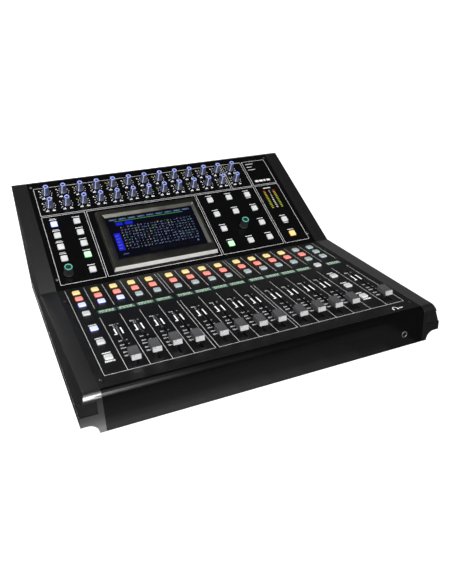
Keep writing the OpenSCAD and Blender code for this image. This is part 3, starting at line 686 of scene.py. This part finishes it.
# Strokes of the scale numbers, and where each stroke runs in a unit square
SEGMENTS = {"0": "abcdef", "1": "bc", "2": "abged", "3": "abgcd", "4": "fgbc", "5": "afgcd", "6": "afgedc"}
STROKES = {"a": (0, 1, 1, 1), "b": (1, 0.5, 1, 1), "c": (1, 0, 1, 0.5), "d": (0, 0, 1, 0),
           "e": (0, 0, 0, 0.5), "f": (0, 0.5, 0, 1), "g": (0, 0.5, 1, 0.5)}


def digits(shape, text, x, y, h, w=0.22):
    """Scale numbers, right-aligned at x and centred at y."""
    wide, step = 0.5 * h, 0.8 * h
    x -= step * len(text) - (step - wide)
    for ch in text:
        for s in SEGMENTS[ch]:
            x0, y0, x1, y1 = STROKES[s]
            shape.line(x + x0 * wide, y - h / 2 + y0 * h, x + x1 * wide, y - h / 2 + y1 * h, w)
        x += step


def legend(shape, rng, x, y, w, h=1.0, mat=0):
    """A label without words: a row of short dashes, centred at x."""
    left = x - w / 2
    while left < x + w / 2 - 0.6:
        dash = min(rng.uniform(0.7, 1.7), x + w / 2 - left)
        shape.box(left, y - h / 2, left + dash, y + h / 2, 0, INK, mat)
        left += dash + 0.45


RNG = random.Random(5)
LINE_W = 0.5
PANEL_LINE_W = 0.55

# Beside each fader's slot: the scale's places and numbers, and two bright bars
SCALE = [(111.5, "10"), (67.0, "5"), (56.3, "10"), (48.9, "20"), (38.8, "30"), (30.7, "50")]
BAR_X = 4.2
BAR_Y = (84.0, 100.5)
BAR_W = 1.9


def deck_marks():
    """The strip frames, fader scales and key legends on the deck."""
    shape = Shape(DECK)
    low_end, high_start = DISPLAY_Y - 16.5, DISPLAY_Y + 12.5
    for first, last in BANKS:
        x0, x1 = column_edge(first), column_edge(last - 1) + STRIP
        shape.line(x0 - LINE_W / 2, 0, x1 + LINE_W / 2, 0, LINE_W)
        for c in range(first, last + 1):
            x = column_edge(c) if c < last else x1
            if c == 0:
                shape.line(x, LINE_W / 2, x, FRAME_L, LINE_W)
                continue
            shape.line(x, LINE_W / 2, x, low_end, LINE_W)
            shape.line(x, high_start, x, FRAME_L, LINE_W)
    for _, c in FADERS:
        x = column_x(c)
        for side in (-1, 1):
            bar = x + side * BAR_X
            shape.box(bar - BAR_W / 2, BAR_Y[0], bar + BAR_W / 2, BAR_Y[1], 0, INK, 2)
        shape.box(x - BAR_X - 3.4, BAR_Y[0], x - BAR_X - BAR_W / 2, BAR_Y[0] + 1.8, 0, INK, 2)
        for y, text in SCALE:
            shape.line(x - 4.9, y, x - 2.3, y, 0.85, 2)
            shape.line(x + 2.5, y, x + 4.7, y, 0.8)
            digits(shape, text, x - 5.6, y, 2.4, 0.45)
        for k in range(1, 4):
            y = SCALE[0][0] - k * 2.7
            shape.line(x - 4.4, y, x - 2.6, y, 0.6)
    for y in SIDE_KEYS[:3]:
        for c in SIDE_COLUMNS:
            legend(shape, RNG, column_x(c), y + KEY / 2 + 6.0, 10.5, 2.2, 2)
    for c in SIDE_COLUMNS:
        legend(shape, RNG, column_x(c), SIDE_KEYS[0] - KEY / 2 - 3.6, 12.5, 3.2, 2)
    # A headphone sign over the socket: a band and two ear pieces
    hx, hy = pu(14.44), -0.49 * STRIP
    band_r, ear_w, ear_h = 3.6, 1.0, 3.2
    shape.half_ring(hx, hy, band_r, 0.9, 12, 2)
    for side in (-1, 1):
        shape.box(hx + side * band_r - ear_w, hy - ear_h, hx + side * band_r + ear_w, hy, 0, INK, 2)
    legend(shape, RNG, hx + 9.4, hy - 0.8, 6.0, 1.9, 2)
    shape.out("deck_print", [M["print"], M["print_dim"], M["print_strong_glow"]], slot="print")


deck_marks()


def panel_marks():
    """The frames, knob scales and key legends on the upper panel. Frame edges are in strip widths."""
    shape = Shape(PANEL)
    gap = 0.10
    rows = ((0.32, 5.36 - gap / 2), (5.36 + gap / 2, 7.65))
    upper = ((-0.09, 12.07), (12.19, 13.61), (13.74, 15.43))
    lower = ((-0.09, 2.40), (2.52, 9.42), (9.54, 13.62), (13.74, 15.43))
    for (t0, t1), cells in zip(rows, (lower, upper)):
        for u0, u1 in cells:
            shape.outline(pu(u0), t0 * STRIP, pu(u1), t1 * STRIP, PANEL_LINE_W)
    for i in range(13):
        for k, y in enumerate(KNOB_ROWS):
            x = KNOB_X0 + i * KNOB_PITCH
            for step in range(11):
                a = math.radians(-60 + step * 30)
                (x0, y0), (x1, y1) = ((x + d * math.cos(a), y + d * math.sin(a)) for d in (8.4, 10.0))
                shape.line(x0, y0, x1, y1, 0.8, 2)
            for side in (-1, 1):
                legend(shape, RNG, x + side * 5.4, y - 10.6, 5.2, 2.0, 2)
            digits(shape, str((0, 5)[k]) if i % 2 else "10", x - 9.6, y - 6.6, 2.0, 0.4)
    for x, y in LEFT_KEYS + NAV_KEYS + METER_KEYS:
        legend(shape, RNG, x, y + KEY / 2 + 4.6, 11.5, 1.2, 2)
    for x, y in LEFT_KEYS[:4]:
        legend(shape, RNG, x, y + KEY / 2 + 7.0, 9.0, 1.1)
    for x, y in (NAV_KEYS[-1], METER_KEYS[1]):
        legend(shape, RNG, x, y - KEY / 2 - 2.6, 9.0, 1.6)
    legend(shape, RNG, METER_KEY_X, 138.5, 14, 1.9, 2)
    for k, text in enumerate(("0", "3", "6", "10", "15", "20", "25", "30", "40", "50")):
        digits(shape, text, 190.2, METER_TOP - 4.4 * k, 2.2, 0.4)
    # The upper right box: three short legends and a plain bar
    for k, w in enumerate((15, 11, 15)):
        legend(shape, RNG, pu(14.05) + w / 2 - 3, 203.5 - 7.4 * k, w, 1.5)
    for w, along in ((7.5, 0), (7.5, 8.6), (4.2, 17.2), (7.5, 23.4)):
        middle = pu(13.98) + along + w / 2
        shape.stack([rounded(w, 4.6, 1.2, z, 3, middle, 158.5) for z in (0, 0.12)])
    shape.out("panel_print", [M["print"], M["print_dim"], M["print_strong_glow"]], slot="print")


panel_marks()

# ---- Lamps ----

def lamps():
    """Two columns of meter lamps, and one small lamp beside each knob."""
    shape = Shape(PANEL)
    for k in range(12):
        y = METER_TOP - 3.7 * k
        mat = 2 if k == 0 else 1 if k < 5 else 0
        for x in METER_X:
            shape.stack([rounded(4.2, 1.5, 0.4, z, 2, x, y) for z in (0, 0.35)] +
                        [rounded(3.8, 1.1, 0.3, 0.55, 2, x, y)], mat)
    for i in range(13):
        for y in KNOB_ROWS:
            x = KNOB_X0 + i * KNOB_PITCH - 0.36 * KNOB_PITCH
            loops = [ring(1.0, 0, 10), ring(1.0, 0.5, 10), ring(0.55, 0.9, 10)]
            mat = 0 if i % 5 == 2 else 1 if i % 5 == 4 else 3
            shape.stack(loops, mat, shift(x, y + 6.8), smooth=True)
    shape.out("panel_lamps", [M["led_green"], M["led_yellow"], M["led_red"], M["led_white"]], slot="led")


lamps()

# ---- Screen and channel displays ----

def screen_image():
    """A generic mixing page drawn as thin tiles just over the glass."""
    shape = Shape(PANEL @ shift(SCREEN[0], SCREEN[1], GLASS_Z))
    rng = random.Random(11)
    w, h = SCREEN_W - 2.0, SCREEN_L - 1.5
    z0, z1 = 0.0, 0.12

    def tile(x, y, tw, th, mat, up=z1):
        shape.box(x - w / 2, y - h / 2, x - w / 2 + tw, y - h / 2 + th, z0, up, mat)

    tile(1, 1, w - 2, h - 2, 5, 0.05)
    for k in range(9):
        tile(4 + k * 15.8, h - 6.5, 13.0, 3.4, 2)
        tile(6 + k * 15.8, h - 5.6, rng.uniform(5, 9), 1.2, 1, 0.16)
    tile(12, 74.0, 118, 1.0, 3)
    for x, tw in ((13, 11), (28, 13)):
        tile(x, 65.5, tw, 6.0, 0)
    tile(4, 14, 10, 36, 0)
    for k in range(5):
        tile(5.5, 18 + 6.5 * k, 5.0 + k % 2, 1.0, 1, 0.16)
    for col in range(22):
        for row in range(9):
            x, y = 18 + col * 5.7 + rng.uniform(-0.5, 0.5), 14.5 + row * 5.6
            mat = rng.choices((1, 2, 3, 6), (10, 6, 1, 1))[0]
            tile(x, y, rng.uniform(0.7, 1.2), rng.uniform(1.6, 3.4), mat, 0.16)
            if rng.random() < 0.7:
                tile(x + 1.6, y + rng.uniform(0, 1.6), rng.uniform(0.9, 2.0), 0.9, 1, 0.16)
            if rng.random() < 0.4:
                tile(x + 1.5, y + 2.6, rng.uniform(0.8, 2.4), 0.7, 2, 0.16)
    tile(52, 3.5, 78, 7.5, 4)
    tile(134, 8, 2.6, 3.0, 1)
    tile(8, 5.0, 9, 2.4, 2)
    shape.out("screen_image", [M["px_blue"], M["px_pale"], M["px_dim"], M["px_green"], M["px_dark"],
                               M["glass"], M["px_gold"]], slot="screen")


screen_image()


def display_image():
    """Three rows of short dashes on each channel display."""
    shape = Shape(DECK)
    rng = random.Random(3)
    for _, c in FADERS:
        x, y = column_x(c), DISPLAY_Y
        for row, (dy, h) in enumerate(((2.4, 1.1), (0.2, 1.5), (-2.6, 1.1))):
            left = x - 10.8 + rng.uniform(0, 1.5)
            while left < x + 9.6:
                wide = rng.uniform(1.2, 4.2)
                right = min(left + wide, x + 11.2)
                shape.box(left, y + dy, right, y + dy + h, -0.2, -0.1, int(row == 1))
                left += wide + rng.uniform(0.5, 1.6)
    shape.out("display_image", [M["px_char"], M["px_lime"]], slot="display")


display_image()

# ---- Headphone socket's rim ----

def jack_rim():
    """A thin bright ring round the headphone socket's bore, sunk a little into the socket's ring."""
    shape = Shape(shift(JACK[0], FRONT_Y - JACK_OUT, JACK[1]) @ turn_x(math.pi / 2))
    profile = ((4.15, -0.3), (4.15, 0.2), (3.95, 0.4), (3.6, 0.4), (3.35, 0.1), (3.3, -0.3), (4.15, -0.3))
    shape.stack([ring(r, z, 32) for r, z in profile], smooth=True, caps=(False, False))
    shape.out("jack_rim", [M["silver"]], slot="bright_metal")


jack_rim()

# ---- Rear details ----

def socket_grid(x0, columns, rows):
    return [(x0 + SOCKET_STEP * i, SOCKET_ROW_Z + SOCKET_ROW_STEP * j)
            for i in range(columns) for j in rows]


INPUTS = socket_grid(INPUT_X0, 8, range(3))
OUTPUTS = socket_grid(OUTPUT_X0, 4, (1, 2))


def rear_metal():
    """Two screws to each socket, the inputs' latches, and the network sockets' contacts."""
    shape = Shape(REAR)
    plate, screw_x, screw_z = 2.0, 9.8, 12.4
    for x, z in INPUTS + OUTPUTS:
        for side in (-1, 1):
            at = shift(-x + side * screw_x, z - side * screw_z, plate)
            shape.stack([ring(1.9, 0, 14), ring(1.9, 0.25, 14), ring(1.2, 0.7, 14)], 0, at, smooth=True)
            shape.box(-1.1, -0.2, 1.1, 0.2, 0.68, 0.8, 2, at)
    for x, z in INPUTS:
        shape.stack([rounded(6.0, 3.6, 0.8, up, 3, -x, z + 12.3) for up in (plate, plate + 0.8)])
    for x in NETWORK_X:
        for k in range(8):
            left = k - x - 3.7
            shape.box(left, NETWORK_Z - 4.1, left + 0.4, NETWORK_Z - 3.2, -10.5, -1.5, 1)
    shape.out("socket_details", [M["silver"], M["gold"], M["socket"]], slot="bright_metal")


def rear_marks():
    """A number under each socket, and two legends."""
    shape = Shape(REAR)
    rng = random.Random(9)
    for i, (x, z) in enumerate(INPUTS + OUTPUTS):
        digits(shape, str(1 + i % 6), -x + 1.0, z - 17.6, 2.0)
    legend(shape, rng, -190, 62, 20, 1.4)
    legend(shape, rng, -196, 147, 24, 1.4)
    shape.out("rear_print", [M["print"]], slot="print")


rear_metal()
rear_marks()

# ---- Stage, lights and camera ----

# In metres, and the camera's turn, downward tilt and roll in degrees
FLOOR_GAP = 0.0002
CAMERA_PLACE = (-0.3086, -0.7939, 0.3934)
CAMERA_ANGLES = (23.11, 22.74, -2.79)


def stage_material():
    """A pale floor that gives off nearly all its own light, so that it stays white."""
    mat, nodes, links, bsdf = principled("stage_white")
    slow = noise(nodes, links, 0.8, 2.0)
    mix = nodes.new("ShaderNodeMix")
    mix.data_type = "RGBA"
    mix.inputs[6].default_value = (0.44, 0.44, 0.44, 1)
    mix.inputs[7].default_value = (0.46, 0.46, 0.46, 1)
    links.new(slow, mix.inputs[0])
    links.new(mix.outputs[2], bsdf.inputs["Base Color"])
    bsdf.inputs["Roughness"].default_value = 0.9
    bsdf.inputs["Specular IOR Level"].default_value = 0.1
    bsdf.inputs["Emission Color"].default_value = (1, 1, 1, 1)
    bsdf.inputs["Emission Strength"].default_value = 0.97
    return mat


def stage():
    """A round floor that curves up into a low wall all round."""
    flat, curve, wall = 4.2, 0.9, 0.35
    profile = [(0.001, 0.0), (flat, 0.0)]
    profile += [(flat + curve * math.sin(a), curve * (1 - math.cos(a)))
                for a in [math.pi / 2 * i / 10 for i in range(1, 11)]]
    profile += [(flat + curve, curve + wall)]
    n = 96
    verts = [(r * math.cos(2 * math.pi * i / n), r * math.sin(2 * math.pi * i / n), z)
             for r, z in profile for i in range(n)]
    faces = [[b * n + i, b * n + (i + 1) % n, (b + 1) * n + (i + 1) % n, (b + 1) * n + i]
             for b in range(len(profile) - 1) for i in range(n)]
    mesh = bpy.data.meshes.new("studio_floor")
    mesh.from_pydata(verts, [], faces)
    mesh.materials.append(stage_material())
    mesh.polygons.foreach_set("use_smooth", [True] * len(faces))
    obj = bpy.data.objects.new("studio_floor", mesh)
    bpy.context.scene.collection.objects.link(obj)
    obj.location.z = -FLOOR_GAP
    obj.visible_glossy = False


def area_light(name, place, aim, size, radiance):
    """A rectangular soft light whose face has about the given radiance."""
    data = bpy.data.lights.new(name, "AREA")
    data.shape = "RECTANGLE"
    data.size, data.size_y = size
    data.energy = radiance * size[0] * size[1] * math.pi
    obj = bpy.data.objects.new(name, data)
    bpy.context.scene.collection.objects.link(obj)
    obj.location = place
    obj.rotation_euler = (Vector(aim) - Vector(place)).to_track_quat("-Z", "Y").to_euler()
    obj.visible_camera = False


def front_cards(steps=8):
    """Pale cards on the floor close to the front, which overlap and are brightest at the left foot."""
    left_x = -0.30
    for k in range(steps):
        w, l = 0.20 + 0.045 * k, 0.014 + 0.008 * k
        x, y = w / 2 + left_x, FRONT_Y * MM - l / 2
        area_light("front_card", (x, y, 0.002), (x, y, 1.0), (w, l), 0.11)


def lights():
    area_light("key_softbox", (-0.32, -1.50, 0.95), (-0.05, -0.1, 0.10), (0.6, 1.1), 14.0)
    area_light("side_softbox", (-1.9, 0.3, 1.3), (0, 0, 0.1), (0.9, 1.2), 2.2)
    area_light("rear_softbox", (-1.5, 1.6, 1.35), (0.05, 0.0, 0.08), (1.2, 0.7), 2.6)
    front_cards()
    area_light("back_softbox", (-0.25, 1.75, 0.42), (0.0, 0.25, 0.09), (1.7, 0.6), 9.0)
    area_light("rear_right_softbox", (1.35, 1.45, 1.02), (0.1, 0.0, 0.08), (1.4, 0.4), 0.25)
    area_light("top_softbox", (-0.1, -0.55, 2.3), (0.0, 0.0, 0.0), (1.2, 0.5), 1.2)
    world = bpy.data.worlds.new("studio")
    bpy.context.scene.world = world
    world.use_nodes = True
    background = world.node_tree.nodes["Background"]
    background.inputs["Color"].default_value = (0.03, 0.03, 0.032, 1)
    background.inputs["Strength"].default_value = 1.0


def camera():
    """A camera at the left front, a little higher than the console."""
    data = bpy.data.cameras.new("camera")
    data.sensor_width = 36.0
    data.lens = 36.31
    data.clip_start, data.clip_end = 0.01, 50
    obj = bpy.data.objects.new("camera", data)
    bpy.context.scene.collection.objects.link(obj)
    yaw, pitch, roll = (math.radians(a) for a in CAMERA_ANGLES)
    fwd = Vector((math.sin(yaw) * math.cos(pitch), math.cos(yaw) * math.cos(pitch), -math.sin(pitch)))
    right = Vector((math.cos(yaw), -math.sin(yaw), 0))
    up = right.cross(fwd)
    r = right * math.cos(roll) + up * math.sin(roll)
    u = up * math.cos(roll) - right * math.sin(roll)
    m = Matrix((r, u, -fwd)).transposed().to_4x4()
    m.translation = Vector(CAMERA_PLACE)
    obj.matrix_world = m
    bpy.context.scene.camera = obj


stage()
lights()
camera()
bpy.context.scene.view_settings.view_transform = "Standard"
bpy.context.scene.view_settings.look = "None"
